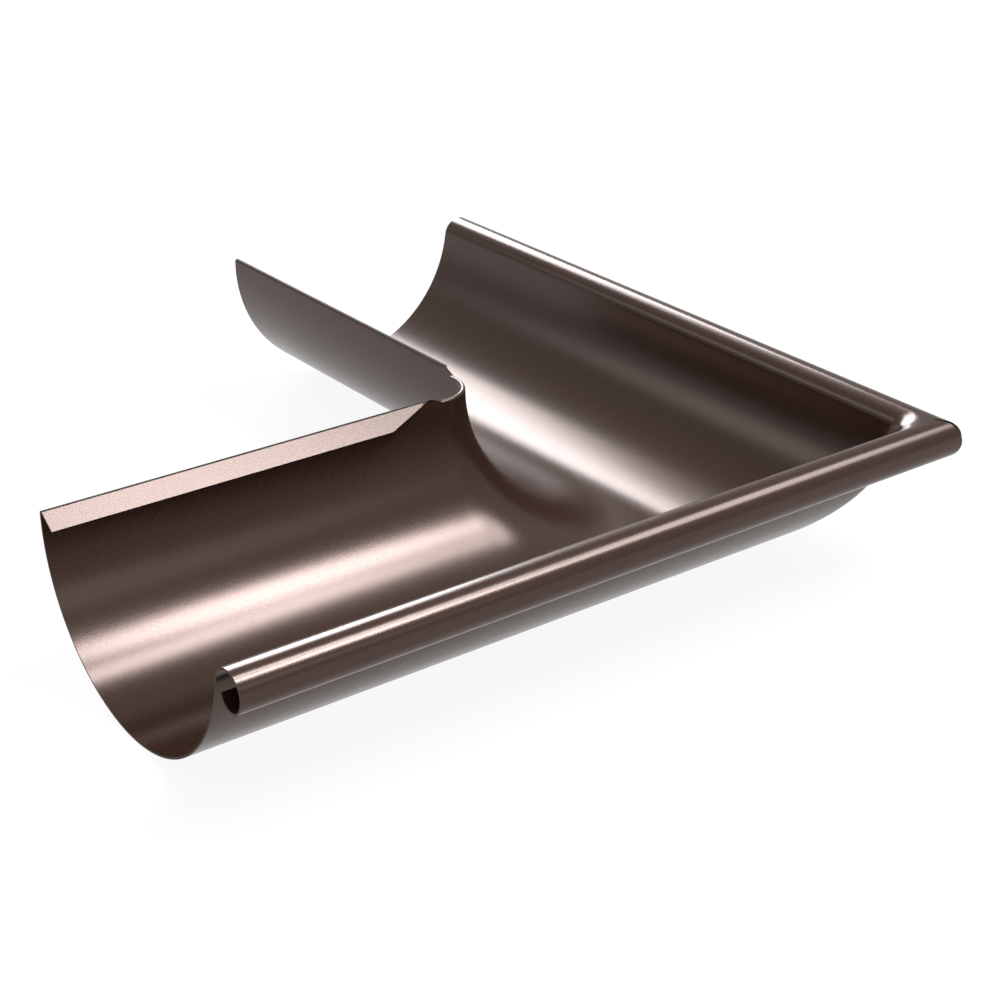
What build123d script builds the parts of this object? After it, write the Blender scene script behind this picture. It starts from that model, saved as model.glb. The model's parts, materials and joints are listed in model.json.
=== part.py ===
from build123d import *
import os
from math import cos, radians, sin

os.makedirs("parts", exist_ok=True)

# Coated steel sheet and half-round trough, in millimetres
sheet = 0.8
trough_radius = 62.5
leg_length = 259.0

# Rolled front bead: a first turn, then a tighter one that ends behind it
bead_radius = 8.2
bead_end_radius = 6.6
bead_drop_angle = 7.8
bead_change_angle = 34.5
bead_tip_angle = 165.0

# Folded back edge of each arm
fold_rise = 3.5
fold_inner_radius = 0.4
flange_width = 8.8
flange_angle = 35.0
flange_chamfer = 21.5
flange_corner_radius = 2.5

# Drawn corner
inner_corner_radius = 16.4
outer_corner_radius = 12.0
lip_radius = 0.5
lip_length = 3.1
relief_length = 5.6
relief_drop = 1.1
bend_stub = 2.4

# Mitre seam between the two rolled beads, opening outward
seam_width = 6.6
seam_gap = 0.4
seam_start = 1.75

# Clearances of the cutting shapes
cut_margin = 5.0
seam_inset = 2.5

# Trough and bead outlines, measured outward and upward from the trough's centre line
inner_radius = trough_radius - sheet
bead_distance = inner_radius + bead_radius
bead_u = bead_distance * cos(radians(bead_drop_angle))
bead_z = trough_radius - bead_distance * sin(radians(bead_drop_angle))
bead_reach = bead_u + bead_radius
turn_offset = bead_radius - bead_end_radius
turn_u = bead_u + turn_offset * cos(radians(bead_change_angle))
turn_z = bead_z - turn_offset * sin(radians(bead_change_angle))
bead_top = bead_z + bead_radius
quarter_sweep = 90.0 - bead_drop_angle
first_sweep = 90.0 + bead_change_angle
second_sweep = bead_tip_angle - bead_change_angle

fold_radius = fold_inner_radius + sheet
fold_u = fold_radius - trough_radius
fold_z = trough_radius + fold_rise - fold_radius
fold_sweep = 90.0 + flange_angle
fold_end_u = fold_u + fold_radius * sin(radians(flange_angle))
fold_end_z = fold_z + fold_radius * cos(radians(flange_angle))

lip_u = -trough_radius - lip_radius
lip_top = trough_radius + lip_radius + sheet

web_width = outer_corner_radius / 2
seam_tip = bead_u - seam_start
seam_root = turn_u - bead_end_radius - seam_inset
seam_outer = bead_reach + cut_margin
seam_half = seam_width / 2 * sin(radians(45))
gap_half = seam_gap / 2 * sin(radians(45))

# The part stands on the middle of the rectangle it covers
crossing = (leg_length - bead_reach) / 2
turn_axis = trough_radius + inner_corner_radius
lip_start = turn_axis + lip_length
fold_end = lip_start + relief_length
flange_end = fold_end + bend_stub

end_plane = Plane(origin=(crossing - leg_length, -crossing, 0), x_dir=(0, -1, 0), z_dir=(-1, 0, 0))
fold_plane = Plane(origin=(crossing - fold_end, -crossing, 0), x_dir=(0, -1, 0), z_dir=(-1, 0, 0))
lip_plane = Plane(origin=(crossing - lip_start, -crossing, 0), x_dir=(0, -1, 0), z_dir=(-1, 0, 0))
turn_plane = Plane(origin=(crossing - turn_axis, -crossing, 0), x_dir=(0, -1, 0), z_dir=(-1, 0, 0))
side_plane = Plane(origin=(crossing, -crossing, 0), x_dir=(1, 0, 0), z_dir=(0, -1, 0))
floor_plane = Plane(origin=(crossing, -crossing, 0), x_dir=(1, 0, 0), z_dir=(0, 0, 1))
flange_plane = Plane(
    origin=(crossing, -crossing - fold_end_u, fold_end_z),
    x_dir=(1, 0, 0),
    z_dir=(0, sin(radians(flange_angle)), -cos(radians(flange_angle))),
)
seam_plane = floor_plane.offset(bead_z)
mirror_plane = Plane(origin=(crossing, -crossing, 0), x_dir=(1, -1, 0), z_dir=(1, 1, 0))
round_plane = Plane(
    origin=(crossing - outer_corner_radius, -crossing, 0), x_dir=(1, -1, 0), z_dir=(1, 1, 0)
)

# Front wall of one arm, from the trough's lowest line to the crest of the bead
with BuildPart() as front_wall:
    with BuildSketch(end_plane) as front_section:
        with BuildLine():
            wall_outside = CenterArc((0, trough_radius), trough_radius, -90, quarter_sweep)
            roll_inside = CenterArc(
                (bead_u, bead_z), bead_radius - sheet, 180 - bead_drop_angle, -quarter_sweep
            )
            crest_cut = Line(roll_inside @ 1, (bead_u, bead_top))
            roll_outside = CenterArc((bead_u, bead_z), bead_radius, 90, quarter_sweep)
            wall_inside = CenterArc((0, trough_radius), inner_radius, -bead_drop_angle, -quarter_sweep)
            Line(wall_inside @ 1, wall_outside @ 0)
        make_face()
    extrude(amount=-(leg_length + bead_reach))
    split(bisect_by=round_plane, keep=Keep.BOTTOM)

# Short length of the same wall with its crest drawn out flat, cut where the corner begins
with BuildPart() as corner_start:
    extrude(to_extrude=front_section.sketch, amount=-(leg_length + bead_reach))
    with BuildSketch(end_plane):
        with BuildLine():
            Polyline(
                (bead_u, bead_top - sheet),
                (bead_u, bead_top),
                (bead_u + web_width, bead_top),
                (bead_u + web_width, bead_top - sheet),
                close=True,
            )
        make_face()
    extrude(amount=-(leg_length + bead_reach))
    split(bisect_by=round_plane, keep=Keep.BOTTOM)

# That section carried round the drawn outer corner, trimmed to meet the rolled beads
with BuildPart() as front_corner:
    with BuildLine() as corner_path:
        CenterArc(
            (crossing - outer_corner_radius, outer_corner_radius - crossing, 0),
            outer_corner_radius, -90, 90,
        )
    sweep(
        sections=corner_start.faces().sort_by(Axis((0, 0, 0), (1, 1, 0)))[-1],
        path=corner_path.wires()[0],
        normal=(1, 1, 0),
    )
    with BuildSketch(floor_plane):
        with BuildLine():
            Polyline(
                (-bead_reach, bead_reach),
                (-bead_reach, -bead_u),
                (bead_u, -bead_u),
                (bead_u, bead_reach),
                close=True,
            )
        make_face()
    extrude(amount=2 * trough_radius, mode=Mode.INTERSECT)

# Rolled part of the bead beyond the crest, mitred at the corner
with BuildPart() as bead_roll:
    with BuildSketch(end_plane):
        with BuildLine():
            turn_one = CenterArc((bead_u, bead_z), bead_radius, 90, -first_sweep)
            turn_two = CenterArc(
                (turn_u, turn_z), bead_end_radius, -bead_change_angle, -second_sweep
            )
            back_two = CenterArc(
                (turn_u, turn_z), bead_end_radius - sheet, -bead_tip_angle, second_sweep
            )
            back_one = CenterArc(
                (bead_u, bead_z), bead_radius - sheet, -bead_change_angle, first_sweep
            )
            Line(turn_two @ 1, back_two @ 0)
            Line(back_one @ 1, turn_one @ 0)
        make_face()
    extrude(amount=-(leg_length + bead_reach))
    split(bisect_by=mirror_plane, keep=Keep.BOTTOM)

# Back wall of one arm, up to the end of the bend at its top
with BuildPart() as back_wall:
    with BuildSketch(end_plane):
        with BuildLine():
            back_outside = CenterArc((0, trough_radius), trough_radius, -90, -90)
            rise_outside = Line(back_outside @ 1, (-trough_radius, fold_z))
            bend_outside = CenterArc((fold_u, fold_z), fold_radius, 180, -fold_sweep)
            back_inside = CenterArc((0, trough_radius), inner_radius, 180, 90)
            rise_inside = Line(back_inside @ 0, (-inner_radius, fold_z))
            bend_inside = CenterArc((fold_u, fold_z), fold_inner_radius, 180, -fold_sweep)
            Line(bend_outside @ 1, bend_inside @ 1)
            Line(back_inside @ 1, back_outside @ 0)
        make_face()
    extrude(amount=-(leg_length - fold_end))

# Flange beyond the bend, cut away on a slant beside the corner
with BuildPart() as flange:
    with BuildSketch(flange_plane) as flange_outline:
        with BuildLine():
            Polyline(
                (-leg_length, 0),
                (-flange_end, 0),
                (-flange_end - flange_chamfer, flange_width),
                (-leg_length, flange_width),
                close=True,
            )
        make_face()
        slant_corner = flange_outline.vertices().group_by(Axis.Y)[-1].sort_by(Axis.X)[-1]
        fillet(slant_corner, flange_corner_radius)
    extrude(amount=sheet)

# Plain edge between the fold and the corner's lip, sloping down to the lip
with BuildPart() as relief:
    with BuildSketch(fold_plane):
        with BuildLine():
            relief_outside = CenterArc((0, trough_radius), trough_radius, -90, -90)
            relief_rise = Line(relief_outside @ 1, (-trough_radius, fold_z + relief_drop))
            relief_top = Line(relief_rise @ 1, (-inner_radius, fold_z + relief_drop))
            relief_fall = Line(relief_top @ 1, (-inner_radius, trough_radius))
            relief_inside = CenterArc((0, trough_radius), inner_radius, 180, 90)
            Line(relief_inside @ 1, relief_outside @ 0)
        make_face()
    extrude(amount=-relief_length)
    with BuildSketch(side_plane):
        with BuildLine():
            Polyline(
                (-fold_end, fold_z + relief_drop),
                (-lip_start, lip_top),
                (cut_margin - lip_start, lip_top),
                (cut_margin - lip_start, fold_z + relief_drop + cut_margin),
                (-fold_end, fold_z + relief_drop + cut_margin),
                close=True,
            )
        make_face()
    extrude(amount=-trough_radius - cut_margin, mode=Mode.SUBTRACT)

# Drawn inner corner: the back wall turned about an upright axis, its edge flared outward
with BuildPart() as back_corner:
    with BuildSketch(turn_plane) as lip_section:
        with BuildLine():
            corner_outside = CenterArc((0, trough_radius), trough_radius, -90, -90)
            lip_under = CenterArc((lip_u, trough_radius), lip_radius, 0, 90)
            lip_over = CenterArc((lip_u, trough_radius), lip_radius + sheet, 0, 90)
            Line(lip_under @ 1, lip_over @ 1)
            corner_inside = CenterArc((0, trough_radius), inner_radius, 180, 90)
            Line(corner_inside @ 1, corner_outside @ 0)
        make_face()
    revolve(axis=Axis((crossing - turn_axis, turn_axis - crossing, 0), (0, 0, 1)), revolution_arc=90)

# The same lipped section, straight, between the relief and the turn
with BuildPart() as lip_wall:
    extrude(to_extrude=lip_section.sketch, amount=lip_length)

# Flat floor between the two half-walls of the corner
with BuildPart() as floor_plate:
    with BuildSketch(floor_plane):
        with BuildLine():
            floor_turn = CenterArc((-turn_axis, turn_axis), turn_axis, -90, 90)
            floor_side = Line(floor_turn @ 1, (0, outer_corner_radius))
            floor_round = CenterArc(
                (-outer_corner_radius, outer_corner_radius), outer_corner_radius, 0, -90
            )
            Line(floor_round @ 1, floor_turn @ 0)
        make_face()
    extrude(amount=sheet)

# The finished angle, one arm mirrored to the other across the mitre
with BuildPart() as gutter_angle:
    add(front_wall.part)
    add(bead_roll.part)
    add(back_wall.part)
    add(flange.part)
    add(relief.part)
    add(lip_wall.part)
    mirror(about=mirror_plane)
    add(front_corner.part)
    add(back_corner.part)
    add(floor_plate.part)

    # Wedge-shaped seam where the two rolled beads meet
    with BuildSketch(seam_plane):
        with BuildLine():
            Polyline(
                (seam_tip, -seam_tip),
                (seam_outer - seam_half, -seam_outer - seam_half),
                (seam_outer + seam_half, seam_half - seam_outer),
                close=True,
            )
        make_face()
    extrude(amount=bead_radius + cut_margin, mode=Mode.SUBTRACT)
    with BuildSketch(seam_plane):
        with BuildLine():
            Polyline(
                (seam_root, -seam_root),
                (seam_tip - gap_half, -seam_tip - gap_half),
                (seam_outer - seam_half, -seam_outer - seam_half),
                (seam_outer + seam_half, seam_half - seam_outer),
                (seam_tip + gap_half, gap_half - seam_tip),
                close=True,
            )
        make_face()
    extrude(amount=-bead_radius - cut_margin, mode=Mode.SUBTRACT)

gutter_angle.part.label = "gutter_angle"
export_step(gutter_angle.part, "parts/gutter_angle.step")
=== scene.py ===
import json
from math import cos, pi, radians, sin, tan

import bmesh
import bpy
from mathutils import Euler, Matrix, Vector

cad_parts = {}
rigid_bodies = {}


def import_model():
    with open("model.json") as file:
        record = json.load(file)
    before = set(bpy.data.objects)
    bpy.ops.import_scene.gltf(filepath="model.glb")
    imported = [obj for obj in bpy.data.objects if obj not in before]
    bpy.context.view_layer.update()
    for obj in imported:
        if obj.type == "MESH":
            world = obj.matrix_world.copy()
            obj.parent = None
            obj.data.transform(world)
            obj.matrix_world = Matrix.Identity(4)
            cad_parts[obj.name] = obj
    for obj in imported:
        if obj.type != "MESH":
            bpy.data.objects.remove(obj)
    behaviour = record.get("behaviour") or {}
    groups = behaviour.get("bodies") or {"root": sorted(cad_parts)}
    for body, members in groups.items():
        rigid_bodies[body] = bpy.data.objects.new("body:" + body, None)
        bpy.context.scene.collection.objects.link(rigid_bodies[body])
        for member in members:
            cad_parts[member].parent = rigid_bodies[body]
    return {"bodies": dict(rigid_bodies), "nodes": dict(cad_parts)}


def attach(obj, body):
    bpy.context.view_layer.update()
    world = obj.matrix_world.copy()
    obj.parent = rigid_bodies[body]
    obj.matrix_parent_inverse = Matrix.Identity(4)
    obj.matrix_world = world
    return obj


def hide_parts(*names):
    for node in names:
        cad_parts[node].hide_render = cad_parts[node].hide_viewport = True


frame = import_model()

# Blender's own start objects go
for spare in list(bpy.data.objects):
    if spare not in list(frame["nodes"].values()) + list(frame["bodies"].values()):
        bpy.data.objects.remove(spare)
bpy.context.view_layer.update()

WHITE = (1, 1, 1, 1)

# Camera, metres and degrees, fitted to the photo's edges
CAMERA_PLACE = (-0.44004, -0.66342, 0.39101)
CAMERA_YAW = 37.02
CAMERA_PITCH = 25.578
FOCAL_PIXELS = 2076.1
IMAGE_PIXELS = 1000
SENSOR = 36.0
CLIP_START = 0.01
CLIP_END = 100

scene = bpy.context.scene
lens = bpy.data.cameras.new("camera")
lens.sensor_width = SENSOR
lens.sensor_fit = "HORIZONTAL"
lens.lens = SENSOR * FOCAL_PIXELS / IMAGE_PIXELS
lens.clip_start = CLIP_START
lens.clip_end = CLIP_END
camera = bpy.data.objects.new("camera", lens)
camera.location = CAMERA_PLACE
camera.rotation_euler = Euler((radians(90 - CAMERA_PITCH), 0, radians(-CAMERA_YAW)))
scene.collection.objects.link(camera)
scene.camera = camera
scene.view_settings.view_transform = "Standard"


def node(tree, kind, **inputs):
    """Adds a shader node and sets its inputs."""
    made = tree.nodes.new(kind)
    for name, value in inputs.items():
        made.inputs[name.replace("_", " ")].default_value = value
    return made


def grey(level):
    return (level, level, level, 1)


# World: a white room that darkens to its ceiling between two heights, degrees above the floor
WALL_LEVEL = 1.0
CEILING_LEVEL = 0.6
WALL_TOP = 0.0
CEILING_START = 8.0

world = bpy.data.worlds.new("studio")
scene.world = world
world.use_nodes = True
tree = world.node_tree
tree.nodes.clear()
out = tree.nodes.new("ShaderNodeOutputWorld")
plain = node(tree, "ShaderNodeBackground", Color=WHITE)
place = tree.nodes.new("ShaderNodeTexCoord")
split = tree.nodes.new("ShaderNodeSeparateXYZ")
level = tree.nodes.new("ShaderNodeMapRange")
level.interpolation_type = "SMOOTHSTEP"
level.inputs["From Min"].default_value = sin(radians(WALL_TOP))
level.inputs["From Max"].default_value = sin(radians(CEILING_START))
level.inputs["To Min"].default_value = WALL_LEVEL
level.inputs["To Max"].default_value = CEILING_LEVEL
tree.links.new(place.outputs["Generated"], split.inputs[0])
tree.links.new(split.outputs["Z"], level.inputs["Value"])
tree.links.new(level.outputs["Result"], plain.inputs["Strength"])
tree.links.new(plain.outputs[0], out.inputs[0])

# Floor: matt for the light, and a white glow with a faint shadow for camera, gloss and glass
FLOOR_SIZE = 12.0
FLOOR_MATT = 0.6
FLOOR_FAINT = 0.06
FLOOR_GLOW = 0.92

half = FLOOR_SIZE / 2
floor_corners = [(-half, -half, 0), (half, -half, 0), (half, half, 0), (-half, half, 0)]
mesh = bpy.data.meshes.new("floor")
mesh.from_pydata(floor_corners, [], [(0, 1, 2, 3)])
floor = bpy.data.objects.new("floor", mesh)
scene.collection.objects.link(floor)
pale = bpy.data.materials.new("floor_white")
pale.use_nodes = True
tree = pale.node_tree
tree.nodes.clear()
out = tree.nodes.new("ShaderNodeOutputMaterial")
matt = node(tree, "ShaderNodeBsdfDiffuse", Color=grey(FLOOR_MATT))
faint = node(tree, "ShaderNodeBsdfDiffuse", Color=grey(FLOOR_FAINT))
glow = node(tree, "ShaderNodeEmission", Color=WHITE, Strength=FLOOR_GLOW)
both = tree.nodes.new("ShaderNodeAddShader")
mix = tree.nodes.new("ShaderNodeMixShader")
path = tree.nodes.new("ShaderNodeLightPath")
either = tree.nodes.new("ShaderNodeMath")
either.operation = "MAXIMUM"
third = tree.nodes.new("ShaderNodeMath")
third.operation = "MAXIMUM"
tree.links.new(path.outputs["Is Camera Ray"], either.inputs[0])
tree.links.new(path.outputs["Is Glossy Ray"], either.inputs[1])
tree.links.new(either.outputs[0], third.inputs[0])
tree.links.new(path.outputs["Is Transmission Ray"], third.inputs[1])
tree.links.new(third.outputs[0], mix.inputs[0])
tree.links.new(faint.outputs[0], both.inputs[0])
tree.links.new(glow.outputs[0], both.inputs[1])
tree.links.new(matt.outputs[0], mix.inputs[1])
tree.links.new(both.outputs[0], mix.inputs[2])
tree.links.new(mix.outputs[0], out.inputs[0])
mesh.materials.append(pale)

# Lamps, slightly cool, metres from the object
LAMP_COLOUR = (0.925, 1.0, 1.04)
LAMP_DISTANCE = 5.0


def lamp(name, azimuth, elevation, across, up, radiance, shape="ELLIPSE", lean=0):
    """Area lamp that faces the object. Angles in degrees: azimuth clockwise from +Y, elevation
    above the floor, across and up the size as seen from the object, lean about its own axis."""
    width = 2 * LAMP_DISTANCE * tan(radians(across / 2))
    height = 2 * LAMP_DISTANCE * tan(radians(up / 2))
    light = bpy.data.lights.new(name, "AREA")
    light.shape = shape
    light.size = width
    light.size_y = height
    light.color = LAMP_COLOUR
    area = width * height * (pi / 4 if shape == "ELLIPSE" else 1)
    light.energy = radiance * pi * area
    obj = bpy.data.objects.new(name, light)
    a, e = radians(azimuth), radians(elevation)
    way = Vector((cos(e) * sin(a), cos(e) * cos(a), sin(e)))
    obj.location = way * LAMP_DISTANCE
    obj.rotation_euler = way.to_track_quat("Z", "Y").to_euler()
    obj.rotation_euler.rotate_axis("Z", radians(lean))
    obj.visible_camera = False
    scene.collection.objects.link(obj)


lamp("key_left", azimuth=110.5, elevation=66, across=8.5, up=15, radiance=28.5, shape="RECTANGLE")
lamp("key_right", azimuth=133, elevation=55.8, across=14, up=14, radiance=38)
lamp("key_low", azimuth=107, elevation=49.5, across=26, up=14, radiance=11.8)
lamp("rear", azimuth=20.5, elevation=27, across=26, up=32, radiance=17, shape="RECTANGLE", lean=5)
lamp("side", azimuth=314, elevation=24, across=18, up=12, radiance=1.8)
lamp("front", azimuth=160, elevation=27, across=24, up=16, radiance=1.1)

# The angle as pressed sheet, millimetres and degrees. The sizes are the solid's, except that
# the lip is turned tighter and further, the seam below the crest is wider and the cut edges
# are softened. The seam's slope and gap are measured along one arm, from the mitre.
MM = 0.001
SHEET = 0.8
TROUGH_RADIUS = 62.5
LEG_LENGTH = 259.0
BEAD_RADIUS = 8.2
BEAD_END_RADIUS = 6.6
BEAD_DROP_ANGLE = 7.8
BEAD_CHANGE_ANGLE = 34.5
BEAD_TIP_ANGLE = 165.0
FOLD_RISE = 3.5
FOLD_RADIUS = 1.2
FLANGE_WIDTH = 8.8
FLANGE_ANGLE = 35.0
FLANGE_CHAMFER = 21.5
CHAMFER_ROUND = 0.5
INNER_CORNER_RADIUS = 16.4
OUTER_CORNER_RADIUS = 12.0
LIP_RADIUS = 0.2
LIP_SWEEP = 120
LIP_LENGTH = 3.1
RELIEF_LENGTH = 5.6
RELIEF_DROP = 0.1
BEND_STUB = 2.4
SEAM_SLOPE = 0.28
SEAM_START = 1.75
SEAM_GAP = 0.75
EDGE_SOFTENING = 0.12
EDGE_SEGMENTS = 2
EDGE_ANGLE = 50

# Places: u across from the trough's centre line, z up from the floor, and s along the arm from
# the crossing of the two centre lines
HALF_SHEET = SHEET / 2
MID_RADIUS = TROUGH_RADIUS - HALF_SHEET
BEAD_DISTANCE = TROUGH_RADIUS - SHEET + BEAD_RADIUS
BEAD_U = BEAD_DISTANCE * cos(radians(BEAD_DROP_ANGLE))
BEAD_Z = TROUGH_RADIUS - BEAD_DISTANCE * sin(radians(BEAD_DROP_ANGLE))
BEAD_REACH = BEAD_U + BEAD_RADIUS
BEAD_CORNER = OUTER_CORNER_RADIUS - BEAD_U
TURN_OFFSET = BEAD_RADIUS - BEAD_END_RADIUS
TURN_U = BEAD_U + TURN_OFFSET * cos(radians(BEAD_CHANGE_ANGLE))
TURN_Z = BEAD_Z - TURN_OFFSET * sin(radians(BEAD_CHANGE_ANGLE))
CROSSING = (LEG_LENGTH - BEAD_REACH) / 2
TURN_AXIS = TROUGH_RADIUS + INNER_CORNER_RADIUS
LIP_START = TURN_AXIS + LIP_LENGTH
FOLD_END = LIP_START + RELIEF_LENGTH
FLANGE_END = FOLD_END + BEND_STUB
FOLD_U = FOLD_RADIUS - TROUGH_RADIUS
FOLD_Z = TROUGH_RADIUS + FOLD_RISE - FOLD_RADIUS
FOLD_MID = FOLD_RADIUS - HALF_SHEET
CHAMFER_START = FLANGE_END + FLANGE_CHAMFER

# Material slots of the sheet
COAT_SLOT = 0
EDGE_SLOT = 1
# The third slot is a near black coat, painted shade along the fold's bend
PAINTED_SHADE_SLOT = 2

# How finely the sheet is divided
KEY_DIGITS = 4
ARM_STEPS = 12
ROUND_STEPS = 4
CHAMFER_STEPS = 6
STUB_STEPS = 2
RELIEF_STEPS = 4
LIP_STEPS = 2
CORNER_STEPS = 24
QUARTER_STEPS = 16
MITRE_STEP = QUARTER_STEPS // 2
TURN_STEPS = 2 * CORNER_STEPS + QUARTER_STEPS
WALL_STEPS = 26
RISE_STEPS = 14
ROLL_STEPS = 22
FLOOR_STEPS = 12
FOLD_STEPS = 2
BEND_STEPS = 8
# From this step of the bend on, the sheet gets the near black painted shade
PAINTED_SHADE_START = 4
LIP_ARC_STEPS = 8

# Shares of the way across the web, each with 1 where the point keeps beside the slit, and
# shares of the flange's width, the first one small to keep the flange's shading flat
WEB_SHARES = ((0, 0), (0.25, 0), (0.5, 0), (0.5, 1), (0.75, 1), (1, 1))
FLANGE_SHARES = (0, 0.03, 0.35, 0.7, 1)


def arc(cu, cz, radius, start, sweep, count):
    """Points (u, z) along an arc of the section, degrees, both ends included."""
    turns = [radians(start + sweep * i / count) for i in range(count + 1)]
    return [(cu + radius * cos(t), cz + radius * sin(t)) for t in turns]


def steps(start, end, count):
    """Evenly spaced numbers, both ends included."""
    return [start + (end - start) * i / count for i in range(count + 1)]


def extruded(section, places):
    """The section at each place along the arm."""
    return [[(s, u, z) for u, z in section] for s in places]


def turned(section):
    """The section turned a quarter about the inner corner's upright axis."""
    made = []
    for i in range(TURN_STEPS + 1):
        turn = radians(90 * i / TURN_STEPS)
        row = []
        for u, z in section:
            swing = TURN_AXIS + u
            row.append((TURN_AXIS - swing * sin(turn), swing * cos(turn) - TURN_AXIS, z))
        made.append(row)
    return made


def flipped(rows):
    return [list(reversed(row)) for row in rows]


def quarter(i):
    """Distances along and across from the ends of the outer corner's quarter arc."""
    turn = radians(90 * i / QUARTER_STEPS)
    return OUTER_CORNER_RADIUS * (1 - sin(turn)), OUTER_CORNER_RADIUS * (1 - cos(turn))


class Shell:
    """Collects the middle surface of the sheet as patches of quads, one arm and its mirror."""

    def __init__(self):
        self.points = []
        self.faces = []
        self.slots = []
        self.known = {}

    def vertex(self, x, y, z):
        key = (round(x, KEY_DIGITS), round(y, KEY_DIGITS), round(z, KEY_DIGITS))
        if key not in self.known:
            self.known[key] = len(self.points)
            self.points.append((x, y, z))
        return self.known[key]

    def quad(self, corners, slot):
        ids = []
        for corner in corners:
            i = self.vertex(*corner)
            if i not in ids:
                ids.append(i)
        if len(ids) > 2:
            self.faces.append(ids)
            self.slots.append(slot)

    def patch(self, rows, mirrored, slot=COAT_SLOT):
        """rows of (s, u, z): along the arm, across it and up."""
        for row, following in zip(rows, rows[1:]):
            for i in range(len(row) - 1):
                corners = [row[i], row[i + 1], following[i + 1], following[i]]
                self.quad([(-s, -u, z) for s, u, z in corners], slot)
                if mirrored:
                    self.quad([(u, s, z) for s, u, z in reversed(corners)], slot)


# Places along the straight arm, from its open end to the corner
round_start = CHAMFER_START + CHAMFER_ROUND
round_end = CHAMFER_START - CHAMFER_ROUND
flange_rows = (
    steps(LEG_LENGTH, round_start, ARM_STEPS)
    + steps(round_start, round_end, ROUND_STEPS)[1:]
    + steps(round_end, FLANGE_END, CHAMFER_STEPS)[1:]
)
fold_rows = flange_rows + steps(FLANGE_END, FOLD_END, STUB_STEPS)[1:]
relief_rows = steps(FOLD_END, LIP_START, RELIEF_STEPS)
lip_rows = steps(LIP_START, TURN_AXIS, LIP_STEPS)
straight = fold_rows + relief_rows[1:] + lip_rows[1:]
shell = Shell()

# Front wall and the rise of the bead, up to the crest
wall = arc(0, TROUGH_RADIUS, MID_RADIUS, -90, 90 - BEAD_DROP_ANGLE, WALL_STEPS)
rise = arc(
    BEAD_U, BEAD_Z, BEAD_RADIUS - HALF_SHEET, 180 - BEAD_DROP_ANGLE,
    BEAD_DROP_ANGLE - 90, RISE_STEPS,
)
front = wall + rise[1:]
rows = extruded(front, straight)
for i in range(1, CORNER_STEPS + 1):
    share = i / CORNER_STEPS
    rows.append(
        [(TURN_AXIS + (OUTER_CORNER_RADIUS - u - TURN_AXIS) * share, u, z) for u, z in front]
    )
shell.patch(rows, True)

# The drawn outer corner: the same section carried round a quarter arc
rows = []
for i in range(QUARTER_STEPS + 1):
    ahead, across = quarter(i)
    rows.append([(ahead - u, u - across, z) for u, z in front])
shell.patch(rows, False)

# Flat web between the corner's crest and the two beads
crest_z = front[-1][1]
inner_arc = [(row[-1][0], row[-1][1]) for row in rows]


def seam(u, z):
    """Where the bead's section ends along the arm, beside the mitre."""
    open_cut = SEAM_SLOPE * (u - BEAD_U + SEAM_START)
    least = SEAM_GAP if z < BEAD_Z or u >= BEAD_U - SEAM_START else 0
    return -u + max(open_cut, least)


def web_row(near, far, slit):
    """Points from the drawn corner's crest to a bead's crest, the last ones beside the slit."""
    made = []
    for share, aside in WEB_SHARES:
        s = near[0] + (far[0] - near[0]) * share
        u = near[1] + (far[1] - near[1]) * share
        made.append((s + slit * aside * (seam(u, crest_z) + u), u, crest_z))
    return made


crest_places = steps(BEAD_CORNER, seam(BEAD_U, crest_z), MITRE_STEP)
rows = [web_row(inner_arc[i], (crest_places[i], BEAD_U), 0) for i in range(MITRE_STEP)]
rows.append(web_row(inner_arc[MITRE_STEP], (-BEAD_U, BEAD_U), 1))
shell.patch(rows, True)

# Rolled bead from the crest to its tip, cut back along the mitre seam
roll = arc(
    BEAD_U, BEAD_Z, BEAD_RADIUS - HALF_SHEET, 90, -90 - BEAD_CHANGE_ANGLE, ROLL_STEPS
)
curl = arc(
    TURN_U, TURN_Z, BEAD_END_RADIUS - HALF_SHEET, -BEAD_CHANGE_ANGLE,
    BEAD_CHANGE_ANGLE - BEAD_TIP_ANGLE, ROLL_STEPS,
)
bead = roll + curl[1:]
rows = extruded(bead, straight)
for i in range(1, CORNER_STEPS + 1):
    share = i / CORNER_STEPS
    rows.append([(TURN_AXIS + (BEAD_CORNER - TURN_AXIS) * share, u, z) for u, z in bead])
for i in range(1, MITRE_STEP + 1):
    share = i / MITRE_STEP
    rows.append([(BEAD_CORNER + (seam(u, z) - BEAD_CORNER) * share, u, z) for u, z in bead])
shell.patch(rows, True)

# Back wall, straight and round the inner corner
back = arc(0, TROUGH_RADIUS, MID_RADIUS, -90, -90, WALL_STEPS)
shell.patch(flipped(extruded(back, straight)), True)
shell.patch(flipped(turned(back)), False)

# Flat floor between the turned back wall and the front walls
side = [(s, 0) for s in steps(TURN_AXIS, OUTER_CORNER_RADIUS, CORNER_STEPS)]
round_edge = []
for i in range(1, QUARTER_STEPS):
    ahead, across = quarter(i)
    round_edge.append((ahead, -across))
outer_edge = side + round_edge + [(-u, -s) for s, u in reversed(side)]
rows = []
for i, (s1, u1) in enumerate(outer_edge):
    turn = radians(90 * i / (len(outer_edge) - 1))
    s0, u0 = TURN_AXIS - TURN_AXIS * sin(turn), TURN_AXIS * cos(turn) - TURN_AXIS
    places = zip(steps(s0, s1, FLOOR_STEPS), steps(u0, u1, FLOOR_STEPS))
    rows.append([(s, u, HALF_SHEET) for s, u in places])
shell.patch(rows, False)

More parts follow.
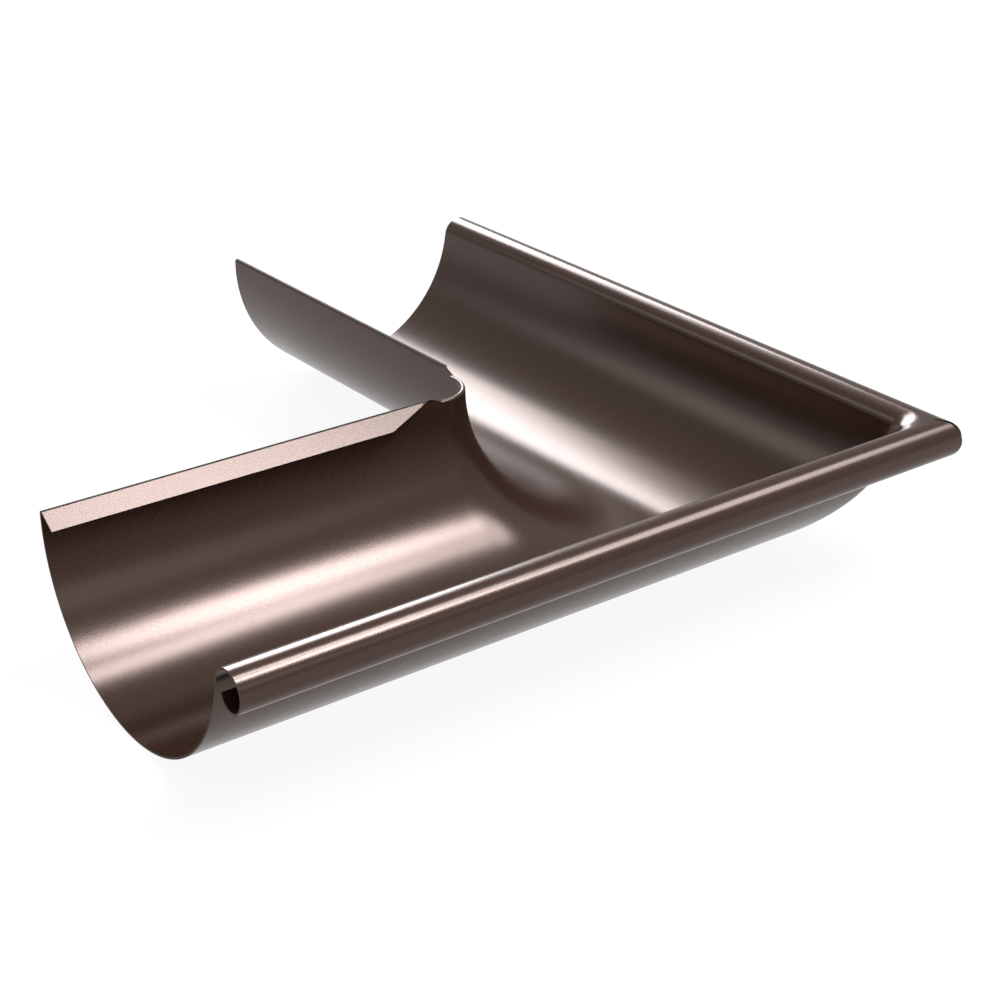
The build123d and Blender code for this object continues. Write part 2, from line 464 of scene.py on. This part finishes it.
# Folded back edge: a short rise and the bend, with the bend's second half coloured near black as
# painted shade for the dark line along the fold
stub_heights = steps(TROUGH_RADIUS, FOLD_Z, FOLD_STEPS)
bend = arc(FOLD_U, FOLD_Z, FOLD_MID, 180, -90 - FLANGE_ANGLE, BEND_STEPS)
fold = [(-MID_RADIUS, z) for z in stub_heights] + bend[1:PAINTED_SHADE_START + 1]
shell.patch(extruded(fold, fold_rows), True)
shell.patch(extruded(bend[PAINTED_SHADE_START:], fold_rows), True, PAINTED_SHADE_SLOT)


def flange_reach(s):
    """Width of the flange at a place along the arm, narrowed by its slanted end."""
    slope = FLANGE_WIDTH / FLANGE_CHAMFER
    if s >= round_start:
        return FLANGE_WIDTH
    if s > round_end:
        return FLANGE_WIDTH - slope * (round_start - s) ** 2 / (4 * CHAMFER_ROUND)
    return slope * (s - FLANGE_END)


slant_u, slant_z = cos(radians(FLANGE_ANGLE)), -sin(radians(FLANGE_ANGLE))
edge_u, edge_z = bend[-1]
rows = []
for s in flange_rows:
    reach = flange_reach(s)
    rows.append(
        [(s, edge_u + slant_u * reach * k, edge_z + slant_z * reach * k) for k in FLANGE_SHARES]
    )
shell.patch(rows, True)

# Plain edge between the fold and the lip, sloping down towards the corner
relief_top = TROUGH_RADIUS + FOLD_RISE - RELIEF_DROP
lip_top = TROUGH_RADIUS + LIP_RADIUS + SHEET
shares = [(z - TROUGH_RADIUS) / (relief_top - TROUGH_RADIUS) for z in stub_heights] + [1.0]
rows = []
for s in relief_rows:
    top = lip_top + (relief_top - lip_top) * (s - LIP_START) / RELIEF_LENGTH
    rows.append([(s, -MID_RADIUS, TROUGH_RADIUS + (top - TROUGH_RADIUS) * k) for k in shares])
shell.patch(rows, True)

# Flared lip of the corner, a short straight length and the turn
lip = arc(
    -TROUGH_RADIUS - LIP_RADIUS, TROUGH_RADIUS, LIP_RADIUS + HALF_SHEET, 0,
    LIP_SWEEP, LIP_ARC_STEPS,
)
shell.patch(extruded(lip, lip_rows), True)
shell.patch(turned(lip), False)

# The collected surface gets the sheet's thickness and softened cut edges
skin = bpy.data.meshes.new("angle_sheet")
placed = [((CROSSING + x) * MM, (y - CROSSING) * MM, z * MM) for x, y, z in shell.points]
skin.from_pydata(placed, [], shell.faces)
for face, slot in zip(skin.polygons, shell.slots):
    face.material_index = slot
form = bmesh.new()
form.from_mesh(skin)
bmesh.ops.recalc_face_normals(form, faces=form.faces)
form.to_mesh(skin)
form.free()
skin.shade_smooth()
sheet_piece = bpy.data.objects.new("angle_sheet", skin)
scene.collection.objects.link(sheet_piece)
thick = sheet_piece.modifiers.new("thickness", "SOLIDIFY")
thick.thickness = SHEET * MM
thick.offset = 0
thick.use_even_offset = True
thick.use_quality_normals = True
thick.material_offset_rim = EDGE_SLOT
soften = sheet_piece.modifiers.new("edges", "BEVEL")
soften.width = EDGE_SOFTENING * MM
soften.segments = EDGE_SEGMENTS
soften.limit_method = "ANGLE"
soften.angle_limit = radians(EDGE_ANGLE)
soften.harden_normals = True

# Coats: two close shades in a fine grain, which also stirs the surface and its roughness
METAL_SHARE = 0.5
COAT_IOR = 1.55
GLOSS_TINT = (0.78, 0.77, 0.76, 1)
GRAIN_SCALE = 2200.0
GRAIN_DETAIL = 1.0
GRAIN_HEIGHT = 0.00008
SHADE_STOPS = (0.3, 0.7)
ROUGHNESS_SPREAD = 0.02


def coat_material(name, dark, light, roughness, gloss, grain_strength):
    """A coat between the shades dark and light."""
    made = bpy.data.materials.new(name)
    made.use_nodes = True
    tree = made.node_tree
    shader = tree.nodes["Principled BSDF"]
    shader.inputs["Metallic"].default_value = METAL_SHARE
    shader.inputs["IOR"].default_value = COAT_IOR
    shader.inputs["Specular IOR Level"].default_value = gloss
    shader.inputs["Specular Tint"].default_value = GLOSS_TINT
    place = tree.nodes.new("ShaderNodeTexCoord")
    grain = node(tree, "ShaderNodeTexNoise", Scale=GRAIN_SCALE, Detail=GRAIN_DETAIL)
    shades = tree.nodes.new("ShaderNodeValToRGB")
    for stop, share, colour in zip(shades.color_ramp.elements, SHADE_STOPS, (dark, light)):
        stop.position = share
        stop.color = (*colour, 1)
    sheen = tree.nodes.new("ShaderNodeMapRange")
    sheen.inputs["To Min"].default_value = roughness - ROUGHNESS_SPREAD
    sheen.inputs["To Max"].default_value = roughness + ROUGHNESS_SPREAD
    bump = node(tree, "ShaderNodeBump", Strength=grain_strength, Distance=GRAIN_HEIGHT)
    tree.links.new(place.outputs["Object"], grain.inputs["Vector"])
    tree.links.new(grain.outputs["Fac"], shades.inputs["Fac"])
    tree.links.new(shades.outputs["Color"], shader.inputs["Base Color"])
    tree.links.new(grain.outputs["Fac"], sheen.inputs["Value"])
    tree.links.new(sheen.outputs["Result"], shader.inputs["Roughness"])
    tree.links.new(grain.outputs["Fac"], bump.inputs["Height"])
    tree.links.new(bump.outputs["Normal"], shader.inputs["Normal"])
    return made


coat = coat_material(
    "coat", dark=(0.043, 0.0195, 0.0124), light=(0.053, 0.0245, 0.0164),
    roughness=0.22, gloss=0.7, grain_strength=0.12,
)
# Near black and nearly matt: painted shade standing in for the dark reflection along the fold
painted_shade_coat = coat_material(
    "bend_painted_shade", dark=(0.008, 0.004, 0.003), light=(0.012, 0.006, 0.004),
    roughness=0.5, gloss=0.05, grain_strength=0.3,
)
edge = coat_material(
    "cut_edge", dark=(0.026, 0.013, 0.009), light=(0.034, 0.018, 0.012),
    roughness=0.4, gloss=0.15, grain_strength=0.1,
)
for finish in (coat, edge, painted_shade_coat):
    skin.materials.append(finish)
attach(sheet_piece, "root")
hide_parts("gutter_angle")
